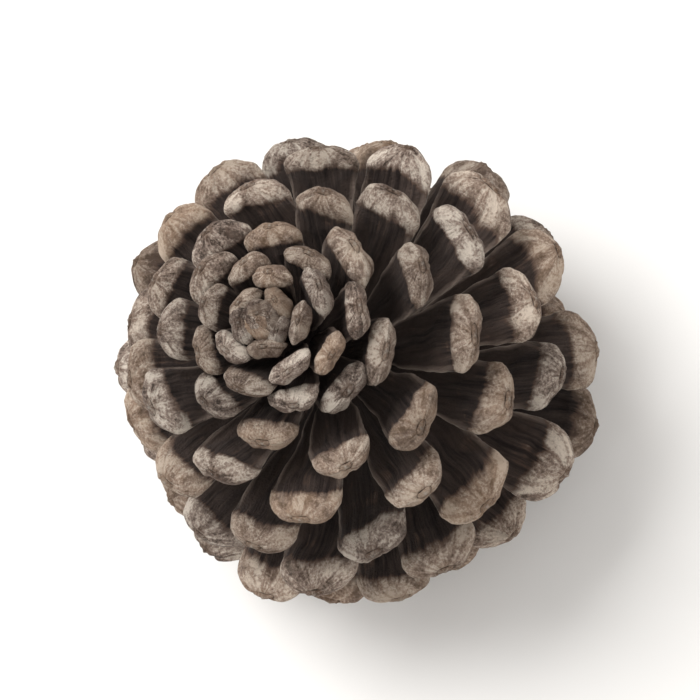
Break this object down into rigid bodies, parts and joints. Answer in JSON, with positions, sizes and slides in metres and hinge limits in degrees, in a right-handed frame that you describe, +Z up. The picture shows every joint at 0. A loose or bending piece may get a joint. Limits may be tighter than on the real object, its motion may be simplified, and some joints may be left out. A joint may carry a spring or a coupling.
{
  "type": "pine cone",
  "caption": "Open, weathered pine cone with a closed oblique base of fused scales, spreading seed scales set in spirals and a small bud of scales at the tip.",
  "frame": {"origin": "middle of the bounding box at the surface that the cone stands on", "axes": "+Z up; the cone's own axis leans 9 degrees from +Z towards -X and a little towards -Y, because its base has grown obliquely"},
  "size_m": [0.0562, 0.0564, 0.0539],
  "materials": {
    "axis_wood": "dark, dry, fibrous",
    "base_scales": "weathered, dusty grey-brown",
    "open_scales": "weathered, pale grey tips on dark brown blades"
  },
  "bodies": {
    "root": {"cone_axis": "axis_wood", "cone_base": "base_scales", "cone_tip": "open_scales", "scale_01": "open_scales", "scale_02": "open_scales", "scale_03": "open_scales", "scale_04": "open_scales", "scale_05": "open_scales", "scale_06": "open_scales", "scale_07": "open_scales", "scale_08": "open_scales", "scale_09": "open_scales", "scale_10": "open_scales", "scale_11": "open_scales", "scale_12": "open_scales", "scale_13": "open_scales", "scale_14": "open_scales", "scale_15": "open_scales", "scale_16": "open_scales", "scale_17": "open_scales", "scale_18": "open_scales", "scale_19": "open_scales", "scale_20": "open_scales", "scale_21": "open_scales", "scale_22": "open_scales", "scale_23": "open_scales", "scale_24": "open_scales", "scale_25": "open_scales", "scale_26": "open_scales", "scale_27": "open_scales", "scale_28": "open_scales", "scale_29": "open_scales", "scale_30": "open_scales", "scale_31": "open_scales", "scale_32": "open_scales", "scale_33": "open_scales", "scale_34": "open_scales", "scale_35": "open_scales", "scale_36": "open_scales", "scale_37": "open_scales", "scale_38": "open_scales", "scale_39": "open_scales", "scale_40": "open_scales", "scale_41": "open_scales", "scale_42": "open_scales", "scale_43": "open_scales", "scale_44": "open_scales", "scale_45": "open_scales", "scale_46": "open_scales", "scale_47": "open_scales", "scale_48": "open_scales", "scale_49": "open_scales", "scale_50": "open_scales", "scale_51": "open_scales", "scale_52": "open_scales", "scale_53": "open_scales", "scale_54": "open_scales", "scale_55": "open_scales", "scale_56": "open_scales"}
  },
  "joints": []
}
